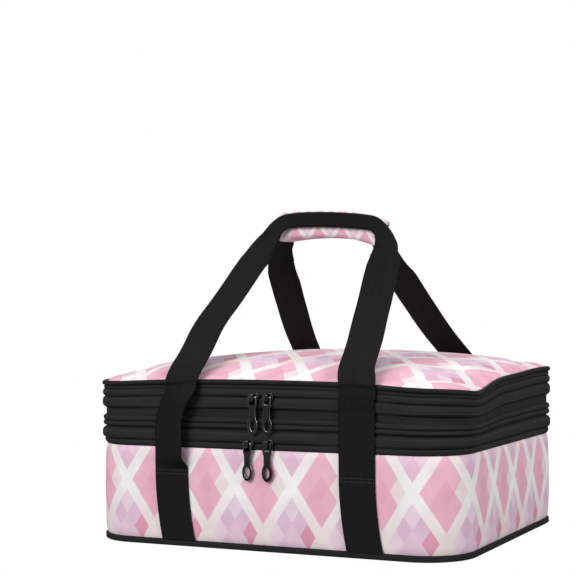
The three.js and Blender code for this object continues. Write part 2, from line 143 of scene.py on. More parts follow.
def rim_at(u):
    """Plan point and outward normal on the carrier's outline, so far from the front's middle."""
    u %= PERIMETER
    runs = [
        (FLAT_W, Vector((0, -HALF_DEPTH)), Vector((1, 0))),
        (QUARTER, Vector((FLAT_W, -FLAT_D)), 1.5 * math.pi),
        (2 * FLAT_D, Vector((HALF_WIDTH, -FLAT_D)), Vector((0, 1))),
        (QUARTER, Vector((FLAT_W, FLAT_D)), 0.0),
        (2 * FLAT_W, Vector((FLAT_W, HALF_DEPTH)), Vector((-1, 0))),
        (QUARTER, Vector((-FLAT_W, FLAT_D)), 0.5 * math.pi),
        (2 * FLAT_D, Vector((-HALF_WIDTH, FLAT_D)), Vector((0, -1))),
        (QUARTER, Vector((-FLAT_W, -FLAT_D)), math.pi),
        (FLAT_W, Vector((-FLAT_W, -HALF_DEPTH)), Vector((1, 0))),
    ]
    for length, start, course in runs:
        if u <= length:
            break
        u -= length
    if isinstance(course, float):
        angle = course + u / CORNER
        out = Vector((math.cos(angle), math.sin(angle)))
        return start + CORNER * out, out
    return start + u * course, Vector((course.y, -course.x))


RIM_STEPS = 400
RIM = [PERIMETER * (k / RIM_STEPS - 0.5) for k in range(RIM_STEPS)]
RIM_PLACES = [rim_at(u) for u in RIM]


def dress(mesh, material, crease=40):
    """Puts a material on a mesh and shades it smooth, but for edges sharper than the crease angle."""
    mesh.materials.append(material)
    mesh.shade_smooth()
    mesh.set_sharp_from_angle(angle=math.radians(crease))
    return placed(mesh.name, mesh)


def loft(name, rows, cloth_place, looped, material, crease=40):
    """Closed skin over rows of points that each go round; cloth_place gives a point's place on the cloth.
    The first row joins the last where looped, and both are filled where not."""
    count = len(rows[0])
    points = [point for row in rows for point in row]
    faces = []
    places = []
    for r in range(len(rows) if looped else len(rows) - 1):
        for k in range(count):
            quad = [(r, k), (r, k + 1), (r + 1, k + 1), (r + 1, k)]
            faces.append([(row % len(rows)) * count + k_round % count for row, k_round in quad])
            places.extend(cloth_place(*corner) for corner in quad)
    if not looped:
        for r in (0, len(rows) - 1):
            middle = sum((Vector(point) for point in rows[r]), Vector()) / count
            points.append(tuple(middle))
            for k in range(count):
                faces.append([r * count + k, r * count + (k + 1) % count, len(points) - 1])
                places.extend([cloth_place(r, k), cloth_place(r, k + 1), cloth_place(r, k)])
    mesh = bpy.data.meshes.new(name)
    mesh.from_pydata(points, [], faces)
    layer = mesh.uv_layers.new(name="cloth")
    layer.data.foreach_set("uv", [value for place in places for value in place])
    shell = bmesh.new()
    shell.from_mesh(mesh)
    bmesh.ops.recalc_face_normals(shell, faces=shell.faces)
    shell.to_mesh(mesh)
    shell.free()
    return dress(mesh, material, crease)


def rim_row(inset, level, ease=None, share=1.0):
    """Points round the carrier at an inset and a level. Ease moves them at each place, and a share below 1
    draws them in towards the middle."""
    row = []
    for u, (point, out) in zip(RIM, RIM_PLACES):
        depth, height = ease(u, inset, level) if ease else (inset, level)
        flat = (point - out * depth) * share
        row.append((flat.x, flat.y, height))
    return row


def hoop(name, section, material, ease=None, crease=40):
    """A band round the carrier from a section of (inset, level); ease moves the points at each place."""
    rows = [rim_row(inset, level, ease) for inset, level in section]

    def cloth_place(r, k):
        return RIM[0] + PERIMETER * k / RIM_STEPS, section[r % len(section)][1]

    return loft(name, rows, cloth_place, True, material, crease)


def wave_height(tree, place, direction, period):
    """Rows of threads across a place on the cloth, so far apart in metres."""
    turned = add_node(tree, "ShaderNodeTexWave", {"Vector": place, "Scale": 0.314 / period},
                      wave_type="BANDS", bands_direction=direction, wave_profile="SIN")
    return turned.outputs["Fac"]


def woven_height(tree, place, period):
    """Crossed threads of a plain weave."""
    return add_node(tree, "ShaderNodeMath", {
        0: wave_height(tree, place, "X", period), 1: wave_height(tree, place, "Y", period)},
        operation="MULTIPLY").outputs[0]


def blotches(tree, place, scale, detail):
    """Cloudy noise over a piece, from 0 to 1."""
    return add_node(tree, "ShaderNodeTexNoise", {
        "Vector": place, "Scale": scale, "Detail": detail}).outputs["Fac"]


def two_tone(tree, shader, value, first, second):
    """Colours a finish from one colour to another by a value from 0 to 1."""
    tint = add_node(tree, "ShaderNodeValToRGB", {"Fac": value})
    for stop, colour in zip(tint.color_ramp.elements, (first, second)):
        stop.color = colour
    tree.links.new(tint.outputs["Color"], shader.inputs["Base Color"])


def embossed(tree, shader, *layers):
    """Raises a finish by layers of (height, strength, distance), each on top of the one before."""
    normal = None
    for height, strength, distance in layers:
        raised = add_node(tree, "ShaderNodeBump", {"Strength": strength, "Distance": distance, "Height": height})
        if normal:
            tree.links.new(normal, raised.inputs["Normal"])
        normal = raised.outputs["Normal"]
    tree.links.new(normal, shader.inputs["Normal"])


def mottled(name, scale, detail, dark, light, **sockets):
    """A plain finish that varies between two greys or browns from spot to spot."""
    material, tree, shader, place = new_finish(name, "Object", **sockets)
    two_tone(tree, shader, blotches(tree, place, scale, detail), shade(*dark), shade(*light))
    return material


def black_cloth(name, tone, warp=0.0007):
    """Black woven polyester: crossed threads, a soft sheen and slightly uneven dye."""
    material, tree, shader, place = new_finish(name, "UV", Roughness=0.82, Specular_IOR_Level=0.14)
    faded, full = (shade(*(value * dye for value in tone)) for dye in (0.88, 1.1))
    two_tone(tree, shader, blotches(tree, place, 45.0, 4.0), faded, full)
    embossed(tree, shader, (woven_height(tree, place, warp), 0.5, 0.0002))
    return material


band_cloth = black_cloth("band_cloth", (35, 35, 36))
binding_cloth = black_cloth("binding_cloth", (32, 32, 34), warp=0.0009)

DROP_REACH = 0.02


def flat_place(rows):
    """Cloth places for a sheet that lies level: its own plan."""
    return lambda r, k: rows[r][k % RIM_STEPS][:2]


def level_sheet(name, node, shares, material, drop=0.0):
    """A sheet that lies level within a node's outline, its top drawn down at the edge by a drop."""
    low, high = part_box(node)
    inset = HALF_WIDTH - high.x
    rows = [rim_row(inset, low.z, share=share) for share in reversed(shares)]
    for share in shares:
        rows.append(rim_row(inset, high.z - drop * math.exp((share - 1) / DROP_REACH), share=share))
    return loft(name, rows, flat_place(rows), False, material)


base_panel = level_sheet("base_cloth", "base_panel", [1.0, 0.97, 0.8, 0.5, 0.2], band_cloth)
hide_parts("base_panel")
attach(base_panel, "lower_body")

BINDING_SECTION = [
    (0.0050, 0.0000), (-0.0004, 0.0000), (-0.0012, 0.0005), (-0.0015, 0.0014), (-0.0013, 0.0030),
    (-0.0015, 0.0046), (-0.0011, 0.0056), (-0.0003, 0.0060), (0.0050, 0.0060),
]
base_binding = hoop("base_edge_binding", BINDING_SECTION, binding_cloth)
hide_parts("base_binding")
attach(base_binding, "lower_body")

board_finish = mottled("stiffener_board", 220.0, 6.0, (98, 88, 74), (138, 126, 108), Roughness=0.75)
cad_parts["base_board"].data.materials.clear()
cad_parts["base_board"].data.materials.append(board_finish)


# Lower wall. Printed polyester over foam, cut as one strip that is sewn into a ring at the rear. It is
# taut at the binding and at the zip, pressed flat under the straps and a little full between them.
PRINT_WIDTH = 0.0633
PRINT_HEIGHT = 0.096
PRINT_WARP = 0.0006
BAND_SHARE = 0.10
BAND_BLUR = 0.012
WHITE = (240, 238, 238)
CREAM = (232, 219, 216)
PINK_THIRDS = [
    (233, 182, 199), (230, 174, 193), (229, 171, 191), (232, 179, 196), (228, 169, 189),
    (231, 177, 195), (232, 179, 197), (233, 183, 200), (234, 219, 217),
]
LILAC_THIRDS = [
    (229, 208, 221), (223, 193, 212), (222, 183, 204), (219, 187, 208), (225, 197, 213),
    (226, 200, 215), (229, 207, 220), (220, 187, 208), (217, 152, 174),
]


def argyle(tree, place, size):
    """Colour of the print at a place on the cloth: watercolour diamonds, each of nine small ones, between
    white bands that cross. Size 1 is the scale on the wall."""
    def work(operation, *values):
        return add_node(tree, "ShaderNodeMath", dict(enumerate(values)), operation=operation).outputs[0]

    def picked(index, tones):
        ramp = add_node(tree, "ShaderNodeValToRGB", {"Fac": index})
        ramp.color_ramp.interpolation = "CONSTANT"
        for spot in range(1, len(tones) - 1):
            ramp.color_ramp.elements.new(spot / len(tones))
        ramp.color_ramp.elements[-1].position = 1 - 1 / len(tones)
        for stop, tone in zip(ramp.color_ramp.elements, tones):
            stop.color = shade(*tone)
        return ramp.outputs["Color"]

    def blended(amount, first, second, mode="MIX"):
        return add_node(tree, "ShaderNodeMix", {0: amount, 6: first, 7: second},
                        data_type="RGBA", blend_type=mode).outputs[2]

    bleed = add_node(tree, "ShaderNodeTexNoise", {"Vector": place, "Scale": 260.0 / size, "Detail": 2.0})
    wander = add_node(tree, "ShaderNodeVectorMath", {
        0: bleed.outputs["Color"], 1: (0.0009 * size,) * 3}, operation="MULTIPLY")
    shifted = add_node(tree, "ShaderNodeVectorMath", {0: place, 1: wander.outputs[0]}, operation="ADD")
    split = add_node(tree, "ShaderNodeSeparateXYZ", {0: shifted.outputs[0]})
    across = work("DIVIDE", split.outputs["X"], PRINT_WIDTH * size)
    upward = work("DIVIDE", split.outputs["Y"], PRINT_HEIGHT * size)
    rising = work("ADD", across, upward)
    falling = work("SUBTRACT", across, upward)
    a = work("FRACT", rising)
    b = work("FRACT", falling)
    inner = 3 / (1 - 2 * BAND_SHARE)
    thirds = []
    for part in (a, b):
        third = work("FLOOR", work("MULTIPLY_ADD", part, inner, -inner * BAND_SHARE))
        thirds.append(work("MINIMUM", work("MAXIMUM", third, 0.0), 2.0))
    index = work("DIVIDE", work("ADD", work("MULTIPLY_ADD", thirds[0], 3.0, thirds[1]), 0.5), 9.0)
    is_lilac = work("FLOORED_MODULO", work("SUBTRACT", work("FLOOR", rising), work("FLOOR", falling)), 2.0)
    diamonds = blended(is_lilac, picked(index, PINK_THIRDS), picked(index, LILAC_THIRDS))
    edge = [work("MINIMUM", part, work("SUBTRACT", 1.0, part)) for part in (a, b)]
    on_diamond = add_node(tree, "ShaderNodeMapRange", {
        0: work("MINIMUM", *edge), 1: BAND_SHARE - BAND_BLUR, 2: BAND_SHARE + BAND_BLUR}).outputs[0]
    whiteness = work("MULTIPLY_ADD", work("COSINE", work("MULTIPLY", upward, 2 * math.pi)), 0.5, 0.5)
    bands = blended(whiteness, shade(*CREAM), shade(*WHITE))
    print_colour = blended(on_diamond, bands, diamonds)
    wash_tone = add_node(tree, "ShaderNodeValToRGB", {"Fac": blotches(tree, place, 55.0 / size, 5.0)})
    wash_tone.color_ramp.elements[0].position = 0.3
    wash_tone.color_ramp.elements[0].color = (0.91, 0.90, 0.91, 1.0)
    wash_tone.color_ramp.elements[1].position = 0.7
    return blended(1.0, print_colour, wash_tone.outputs["Color"], "MULTIPLY")


def printed_cloth(name, source, crossing, size=1.0):
    """Printed polyester, placed so that two white bands cross at a given place on the piece."""
    material, tree, shader, place = new_finish(name, source, Roughness=0.72, Specular_IOR_Level=0.25)
    place = add_node(tree, "ShaderNodeMapping", {
        "Vector": place, "Location": (-crossing[0], -crossing[1], 0.0)}).outputs[0]
    tree.links.new(argyle(tree, place, size), shader.inputs["Base Color"])
    crumple = blotches(tree, place, 38.0, 3.0)
    embossed(tree, shader, (woven_height(tree, place, PRINT_WARP), 0.35, 0.00015), (crumple, 0.25, 0.0012))
    return material


STRAP_X = 0.103
STRAP_PRESS = 0.029
PRESS_EASE = 0.020
WALL_PAD = 0.0050
WALL_BELLY = 0.0016
WALL_SLACK = 0.0005
WALL_TUCK = 0.0012
TUCK_REACH = 0.0022
WALL_ROWS = 26


def clamped(share):
    return min(max(share, 0.0), 1.0)


def smooth(share):
    share = clamped(share)
    return share * share * (3 - 2 * share)


def even_steps(low, high, steps):
    return [low + (high - low) * k / steps for k in range(steps + 1)]


def strip_section(low, high, depth, rows=8):
    """Section of an upright strip: its face from the foot up, then its back."""
    return [(0.0, level) for level in even_steps(low, high, rows)] + [(depth, high), (depth, low)]


def ripple(u, level, along, upward, seed):
    """Soft unevenness of cloth, with about so many waves to the metre along it and up it."""
    return noise.noise(Vector((u * along, level * upward, seed)))


def off_strap(u):
    """0 under a strap, where it presses the cloth flat, rising to 1 clear of it."""
    from_middle = min(abs(u), PERIMETER / 2 - abs(u))
    return smooth((abs(from_middle - STRAP_X) - STRAP_PRESS) / PRESS_EASE)


def wall_ease(u, inset, level):
    """Shapes the wall's face; its back stays flat."""
    if inset > 0:
        return inset, level
    up = (level - wall_low.z) / (wall_high.z - wall_low.z)
    near_seam = min(level - wall_low.z, wall_high.z - level)
    belly = WALL_BELLY * math.sin(math.pi * up) ** 0.7
    slack = WALL_SLACK * ripple(u, level, 28, 17, 3.0)
    tuck = WALL_TUCK * math.exp(-near_seam / TUCK_REACH)
    return inset + tuck - (belly + slack) * off_strap(u), level


wall_section = strip_section(wall_low.z, wall_high.z, WALL_PAD, WALL_ROWS)
wall_print = printed_cloth("wall_print", "UV", (-0.0295, 0.066))
lower_wall = hoop("lower_wall_cover", wall_section, wall_print, wall_ease)
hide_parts("lower_wall")
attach(lower_wall, "lower_body")


# Lower lining. A tub of foil-faced foam sewn in at the top edge of the wall, creased where it turns in
# to the floor and crinkled all over, as such foil is.
foil, tree, shader, place = new_finish("foil_lining", "Object", Metallic=0.75, Roughness=0.34)
creases = add_node(tree, "ShaderNodeTexVoronoi", {"Vector": place, "Scale": 55.0}, feature="DISTANCE_TO_EDGE")
crinkle = blotches(tree, place, 90.0, 5.0)
two_tone(tree, shader, crinkle, (0.55, 0.56, 0.58, 1.0), (0.80, 0.81, 0.82, 1.0))
embossed(tree, shader, (crinkle, 0.35, 0.0015), (creases.outputs["Distance"], 0.3, 0.001))

tub_low, tub_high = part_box("lower_lining")
LINING = 0.001
FOIL_WRINKLE = 0.0007
CREASE_IN = 0.0015
CREASE_UP = 0.0006
FLOOR_SHARES = [0.97, 0.8, 0.5, 0.2]
tub_inset = HALF_WIDTH - tub_high.x
tub_inside = tub_inset + LINING
tub_floor = tub_low.z + LINING


def wrinkled(u, inset, level):
    return inset + FOIL_WRINKLE * (1 + ripple(u, level, 22, 20, 8.0)), level


tub_rows = [rim_row(tub_inset, tub_low.z, share=share) for share in reversed(FLOOR_SHARES)]
tub_rows += [rim_row(tub_inset, tub_low.z), rim_row(tub_inset, tub_high.z), rim_row(tub_inside, tub_high.z)]
for share in (0.9, 0.75, 0.6, 0.45, 0.3, 0.18, 0.08):
    tub_rows.append(rim_row(tub_inside, tub_floor + (tub_high.z - tub_low.z - LINING) * share, wrinkled))
tub_rows.append(rim_row(tub_inside + CREASE_IN, tub_floor + CREASE_UP))
tub_rows += [rim_row(tub_inside, tub_floor, share=share) for share in FLOOR_SHARES]
lower_lining = loft("lower_foil_tub", tub_rows, flat_place(tub_rows), False, foil)
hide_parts("lower_lining")
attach(lower_lining, "lower_body")


# Zips. Each of the three zips is two woven tapes that meet edge to edge with the coil behind them, so
# only the tapes and a dark line show. The tapes roll outwards a little between their seams.
tape_cloth = black_cloth("tape_cloth", (37, 37, 38), warp=0.0008)
nylon = mottled("zip_nylon", 300.0, 2.0, (18, 18, 19), (34, 34, 36), Roughness=0.42)

TAPE_ROLL = 0.0012
TAPE_EDGE = 0.0017
TAPE_DEPTH = 0.0024
EDGE_REACH = 0.0008
MEETING = 0.00014
SEAM_LAP = 0.0004
SWAY_FOOT = 0.104
SWAY_RISE = 0.062
SWAY_UNEVEN = 0.0005
BULGE_SPREAD = 0.045
BULGE_FOOT = 0.099
BULGE_RISE = 0.010


def sag(u):
    """How far the lid's edge droops, at the front corners most, or is drawn up, at the right rear."""
    bends = [(-0.0052, 0.175, 0.070), (-0.0088, 0.252, 0.045), (-0.0040, -0.195, 0.075),
             (0.0050, 0.470, 0.100), (-0.0030, -0.500, 0.080)]
    return sum(depth * math.exp(-((u - middle) / spread) ** 2) for depth, middle, spread in bends)


def bulge(u):
    """How far the zips and the lid's edge stand out at the corners, where the tapes resist the bend."""
    corners = [(0.0018, 0.194), (0.0034, -0.194), (0.0030, 0.5125), (0.0030, -0.5125)]
    return sum(reach * math.exp(-((u - middle) / BULGE_SPREAD) ** 2) for reach, middle in corners)


def sway(u, level):
    """Rise and fall of the seams above the wall, where nothing stiffens them, most at the lid's edge."""
    return clamped((level - SWAY_FOOT) / SWAY_RISE) * (sag(u) + SWAY_UNEVEN * ripple(u, level, 14, 5, 1.0))


def swayed(u, inset, level):
    return inset - bulge(u), level + sway(u, level)


def rolled(low, high, roll, edge, face=0.0):
    """How a strip between two seams rolls out in its middle and tucks in at its edges."""
    def ease(u, inset, level):
        height = level + sway(u, level)
        stand = bulge(u) * smooth((level - BULGE_FOOT) / BULGE_RISE)
        if inset > 0:
            return inset - stand, height
        up = (level - low) / (high - low)
        near = min(level - low, high - level)
        swell = roll * math.sin(math.pi * up) * (0.25 + 0.75 * off_strap(u))
        return face + edge * math.exp(-near / EDGE_REACH) - swell * off_strap(u) - stand, height
    return ease


def bead_tree(name, lay, radius, material):
    """Node tree that repeats a short rod along a run, upright or laid over by a turn about Y."""
    tree = bpy.data.node_groups.new(name, "GeometryNodeTree")
    for socket, way, kind in (("Path", "INPUT", "Geometry"), ("Pitch", "INPUT", "Float"),
                              ("Length", "INPUT", "Float"), ("Rods", "OUTPUT", "Geometry")):
        tree.interface.new_socket(socket, in_out=way, socket_type=f"NodeSocket{kind}")
    given = add_node(tree, "NodeGroupInput")
    run = add_node(tree, "GeometryNodeMeshToCurve", {0: given.outputs["Path"]})
    beads = add_node(tree, "GeometryNodeResampleCurve", {
        "Curve": run.outputs[0], "Length": given.outputs["Pitch"]}, mode="LENGTH")
    rod = add_node(tree, "GeometryNodeMeshCylinder", {
        "Vertices": 6, "Radius": radius, "Depth": given.outputs["Length"]})
    laid = add_node(tree, "GeometryNodeTransform", {0: rod.outputs["Mesh"], "Rotation": (0.0, lay, 0.0)})
    lean = add_node(tree, "FunctionNodeAlignRotationToVector", {
        "Vector": add_node(tree, "GeometryNodeInputTangent").outputs[0]}, axis="X", pivot_axis="Z")
    rods = add_node(tree, "GeometryNodeInstanceOnPoints", {
        "Points": beads.outputs[0], "Instance": laid.outputs[0], "Rotation": lean.outputs[0]})
    solid = add_node(tree, "GeometryNodeRealizeInstances", {0: rods.outputs[0]})
    finished = add_node(tree, "GeometryNodeSetMaterial", {0: solid.outputs[0], "Material": material})
    add_node(tree, "NodeGroupOutput", {0: finished.outputs[0]})
    return tree


COIL_PITCH = 0.0015
COIL_BACK = 0.0008
STITCH_SIZES = {"Pitch": 0.0034, "Length": 0.0026}
STITCH_PROUD = 0.0001
coil_tree = bead_tree("coil_turns", lay=0.0, radius=0.00055, material=nylon)
thread = mottled("black_thread", 900.0, 2.0, (30, 30, 31), (62, 62, 64), Roughness=0.5, Specular_IOR_Level=0.35)
stitch_tree = bead_tree("stitches", lay=math.pi / 2, radius=0.00028, material=thread)


def grown(name, tree, runs, sizes):
    """Lets a node tree repeat a shape along closed or open runs of points, and keeps the plain mesh."""
    points = []
    edges = []
    for run_points, closed in runs:
        first = len(points)
        points.extend(run_points)
        edges.extend((k, k + 1) for k in range(first, len(points) - 1))
        if closed:
            edges.append((len(points) - 1, first))
    path = bpy.data.meshes.new(name)
    path.from_pydata(points, edges, [])
    piece = placed(name, path)
    growth = piece.modifiers.new("growth", "NODES")
    growth.node_group = tree
    sockets = {socket.name: socket.identifier for socket in tree.interface.items_tree if socket.in_out == "INPUT"}
    for size, value in sizes.items():
        growth[sockets[size]] = value
    made = bpy.data.meshes.new_from_object(piece.evaluated_get(bpy.context.evaluated_depsgraph_get()))
    piece.modifiers.clear()
    piece.data = made
    return piece


def stitched(name, level, ease, body):
    """A row of stitches round the carrier, half sunk in the cloth of the strip that it holds."""
    def on_cloth(u, inset, level):
        depth, height = ease(u, inset, level)
        return depth - STITCH_PROUD, height

    row = grown(name, stitch_tree, [(rim_row(0.0, level, on_cloth), True)], STITCH_SIZES)
    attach(row, body)


def zip_half(zip_name, half, body, roll, seam=None):
    """One tape, its coil and, so far from the edge away from the coil, the stitches of its seam."""
    node = f"{zip_name}_zip_tape_{half}"
    low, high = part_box(node)
    bottom = low.z - (MEETING if half == "top" else SEAM_LAP)
    top = high.z + (MEETING if half == "bottom" else SEAM_LAP)
    ease = rolled(bottom, top, roll, TAPE_EDGE)
    tape = hoop(f"{zip_name}_tape_{half}", strip_section(bottom, top, TAPE_DEPTH), tape_cloth, ease)
    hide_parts(node)
    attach(tape, body)
    if seam:
        stitched(f"{zip_name}_seam_{half}", bottom + seam if half == "bottom" else top - seam, ease, body)
    coil_node = f"{zip_name}_zip_coil_{half}"
    low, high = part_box(coil_node)
    line = rim_row(HALF_WIDTH - high.x + COIL_BACK, (low.z + high.z) / 2, swayed)
    coil = grown(f"{zip_name}_coil_{half}", coil_tree, [(line, True)],
                 {"Pitch": COIL_PITCH, "Length": high.z - low.z})
    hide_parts(coil_node)
    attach(coil, body)


zip_half("lower", "bottom", "lower_body", 0.0003)
zip_half("lower", "top", "tier", TAPE_ROLL, seam=0.0030)
zip_half("expander", "bottom", "tier", 0.0004)
zip_half("expander", "top", "upper_ring", 0.0004)
zip_half("lid", "bottom", "upper_ring", TAPE_ROLL, seam=0.0030)
zip_half("lid", "top", "lid", 0.0009, seam=0.0022)


# Upper tier. Recessed black bands join the tapes, a foil-faced pad makes the tier's floor, a printed
# gusset is folded away behind the expander zip, and a foil lining stands inside the upper band.
BAND_DEPTH = 0.0050


def seam_band(name, node, body):
    low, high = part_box(node)
    section = strip_section(low.z, high.z, BAND_DEPTH, rows=6)
    band = hoop(name, section, band_cloth,
                rolled(low.z, high.z, roll=-0.0005, edge=0.0004, face=HALF_WIDTH - high.x))
    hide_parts(node)
    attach(band, body)


seam_band("tier_seam_band", "tier_band", "tier")
seam_band("upper_recessed_band", "upper_band", "upper_ring")

PAD_SHARES = [1.0, 0.985, 0.95, 0.85, 0.7, 0.5, 0.3, 0.12]
tier_floor = level_sheet("tier_floor_pad", "tier_floor", PAD_SHARES, foil, drop=0.0012)
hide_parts("tier_floor")
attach(tier_floor, "tier")

GUSSET_HEIGHT = 0.048
GUSSET_CLOTH = 0.0008
GUSSET_ROWS = 16
gusset_low, gusset_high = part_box("gusset")
gusset_inset = HALF_WIDTH - gusset_high.x
gusset_levels = even_steps(gusset_low.z, gusset_high.z, GUSSET_ROWS)
gusset_section = [(gusset_inset, level) for level in gusset_levels]
gusset_section += [(gusset_inset + GUSSET_CLOTH, level) for level in reversed(gusset_levels)]
gusset_print = printed_cloth("gusset_print", "UV", (-0.0295, 0.024))
gusset = hoop("gusset_cloth", gusset_section, gusset_print)
unfold = GUSSET_HEIGHT / (gusset_high.z - gusset_low.z)
for corner in gusset.data.uv_layers["cloth"].data:
    corner.uv.y = (corner.uv.y - gusset_low.z) * unfold
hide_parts("gusset")
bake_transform(gusset)

ring_low, ring_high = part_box("upper_lining")
ring_inset = HALF_WIDTH - ring_high.x
ring_section = [(ring_inset, ring_low.z), (ring_inset, ring_high.z)]
ring_section += [(ring_inset + LINING, level) for level in even_steps(ring_high.z, ring_low.z, 5)]
upper_lining = hoop("upper_foil_lining", ring_section, foil)
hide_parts("upper_lining")
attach(upper_lining, "upper_ring")


# Lid. Printed cloth over foam, full in the middle and drawn down to a corded edge, with a black side
# band under the cord and foil inside. Its upper layer is blown up by a cloth simulation, held at the edge.
lid_band_low, lid_band_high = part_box("lid_band")
lid_band = hoop("lid_side_band", strip_section(lid_band_low.z, lid_band_high.z, BAND_DEPTH, rows=5), band_cloth,
                rolled(lid_band_low.z, lid_band_high.z, roll=0.0002, edge=0.0005, face=0.0004))
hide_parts("lid_band")
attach(lid_band, "lid")

cord_low, cord_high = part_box("lid_piping")
CORD_SIDES = 14
CORD_RADIUS = (cord_high.z - cord_low.z) / 2
cord_inset = CORD_RADIUS - (cord_high.x - HALF_WIDTH)
cord_level = (cord_low.z + cord_high.z) / 2
cord_section = []
for k in range(CORD_SIDES):
    angle = 2 * math.pi * k / CORD_SIDES
    cord_section.append((cord_inset + CORD_RADIUS * math.cos(angle), cord_level - CORD_RADIUS * math.sin(angle)))
piping = hoop("lid_corded_edge", cord_section, binding_cloth, swayed, crease=80)
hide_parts("lid_piping")
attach(piping, "lid")

PAD_GRID = 72
LID_CROWN = 0.026
PAD_THICK = 0.004
PAD_START = 0.006
PAD_CAP = 0.006
PAD_PRESSURE = 4.0
PAD_SLACK = 0.012
SWELL_FRAMES = 20
panel_low, panel_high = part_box("lid_panel")
pad_inset = HALF_WIDTH - panel_high.x


def pad_plan(i, j):
    """Plan point of a square grid laid over the lid, its share of the way to the edge, and its droop."""
    a = 2 * i / PAD_GRID - 1
    b = 2 * j / PAD_GRID - 1
    share = max(abs(a), abs(b))
    if share == 0:
        return Vector((0, 0)), 0.0, 0.0
    side_w = 2 * FLAT_W + QUARTER
    side_d = 2 * FLAT_D + QUARTER
    if abs(b) >= abs(a):
        along = a / share * side_w / 2
        u = along if b < 0 else PERIMETER / 2 - along
    else:
        along = b / share * side_d / 2
        u = PERIMETER / 4 + along if a > 0 else -PERIMETER / 4 - along
    point, out = rim_at(u)
    u = (u + PERIMETER / 2) % PERIMETER - PERIMETER / 2
    return (point - out * (pad_inset - bulge(u))) * share, share, sway(u, cord_level) * share ** 3


def dome_sheet(name, bottom, thickness, rise, material):
    """A closed crowned sheet over the lid's plan; the lower layer comes first."""
    across = PAD_GRID + 1
    points = []
    for lift in (0.0, thickness):
        for j in range(across):
            for i in range(across):
                flat, share, droop = pad_plan(i, j)
                points.append((flat.x, flat.y, bottom + lift + droop + rise * (1 - share ** 2)))
    faces = []
    layer = across * across
    for j in range(PAD_GRID):
        for i in range(PAD_GRID):
            k = j * across + i
            faces.append((k, k + across, k + across + 1, k + 1))
            faces.append((layer + k, layer + k + 1, layer + k + across + 1, layer + k + across))
    edge = [(i, 0) for i in range(PAD_GRID)] + [(PAD_GRID, j) for j in range(PAD_GRID)]
    edge += [(i, PAD_GRID) for i in range(PAD_GRID, 0, -1)] + [(0, j) for j in range(PAD_GRID, 0, -1)]
    for (i, j), (i_next, j_next) in zip(edge, edge[1:] + edge[:1]):
        k = j * across + i
        k_next = j_next * across + i_next
        faces.append((k, k_next, layer + k_next, layer + k))
    mesh = bpy.data.meshes.new(name)
    mesh.from_pydata(points, [], faces)
    return dress(mesh, material, crease=60)


def blown_up(piece, held, pressure, slack, cap):
    """Swells a closed piece as cloth, with the held points fixed, and limits how far a point goes."""
    rest = [vertex.co.copy() for vertex in piece.data.vertices]
    pins = piece.vertex_groups.new(name="held")
    pins.add([k for k in range(len(rest)) if held(k)], 1.0, "REPLACE")
    cloth = piece.modifiers.new("cloth", "CLOTH")
    for setting, value in {
            "quality": 6, "mass": 0.2, "tension_stiffness": 25, "compression_stiffness": 25,
            "shear_stiffness": 10, "bending_stiffness": 0.3, "vertex_group_mass": "held", "use_pressure": True,
            "uniform_pressure_force": pressure, "shrink_min": -slack, "shrink_max": -slack}.items():
        setattr(cloth.settings, setting, value)
    cloth.settings.effector_weights.gravity = 0
    cloth.collision_settings.use_collision = False
    scene = bpy.context.scene
    for step in range(1, SWELL_FRAMES + 1):
        scene.frame_set(step)
    swollen = bpy.data.meshes.new_from_object(piece.evaluated_get(bpy.context.evaluated_depsgraph_get()))
    for vertex, start in zip(swollen.vertices, rest):
        moved = vertex.co - start
        if moved.length > cap:
            vertex.co = start + moved * (cap / moved.length)
    piece.modifiers.clear()
    piece.vertex_groups.clear()
    piece.data = swollen
    scene.frame_set(1)


lid_print = printed_cloth("lid_print", "Object", (-0.025, -0.150))
lid_pad = dome_sheet("lid_padded_panel", panel_low.z, PAD_THICK, LID_CROWN - PAD_START, lid_print)
layer_size = (PAD_GRID + 1) ** 2


def lid_held(k):
    i, j = (k % layer_size) % (PAD_GRID + 1), (k % layer_size) // (PAD_GRID + 1)
    return k < layer_size or min(i, j, PAD_GRID - i, PAD_GRID - j) == 0


blown_up(lid_pad, lid_held, PAD_PRESSURE, PAD_SLACK, PAD_CAP)
finer = lid_pad.modifiers.new("finer", "SUBSURF")
finer.levels = finer.render_levels = 1
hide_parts("lid_panel")
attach(lid_pad, "lid")

lining_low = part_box("lid_lining")[0]
lid_lining = dome_sheet("lid_foil_lining", lining_low.z, LINING, LID_CROWN - PAD_START, foil)
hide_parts("lid_lining")
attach(lid_lining, "lid")


# Cloth hinges. At the middle of the rear wall the zips stop, and a strip of black cloth is sewn across
# the two tapes there, so that the tier and the lid swing on it.
HINGE_THIN = 0.0003
THIN_REACH = 0.0012


def cloth_hinge(name, node):
    """A strip that is thinner at its upper and lower edge, where it is turned in."""
    low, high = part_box(node)
    rows = []
    outline = even_steps(low.x, high.x, 40)
    for level in even_steps(low.z, high.z, 12):
        near = min(level - low.z, high.z - level)
        thin = HINGE_THIN * math.exp(-near / THIN_REACH)
        row = [(x, high.y - thin, level) for x in outline]
        row += [(x, low.y, level) for x in reversed(outline)]
        rows.append(row)

    def cloth_place(r, k):
        x, _, level = rows[r][k % len(rows[r])]
        return x, level

    piece = loft(name, rows, cloth_place, False, band_cloth)
    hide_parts(node)
    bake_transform(piece)


cloth_hinge("tier_cloth_hinge", "tier_hinge_tape")
cloth_hinge("lid_cloth_hinge", "lid_hinge_tape")


# Straps. Two loops of ribbed polypropylene webbing, one at the front and one at the rear. Each is sewn
# flat to the wall up to a row of stitches, then hangs free up past the lid to the grip.
WEBBING_WIDTH = 0.038
WEBBING = 0.0020
SECTION_STEPS = 28
CREASE_BEND = 0.0026
EDGE_THIN = 0.45

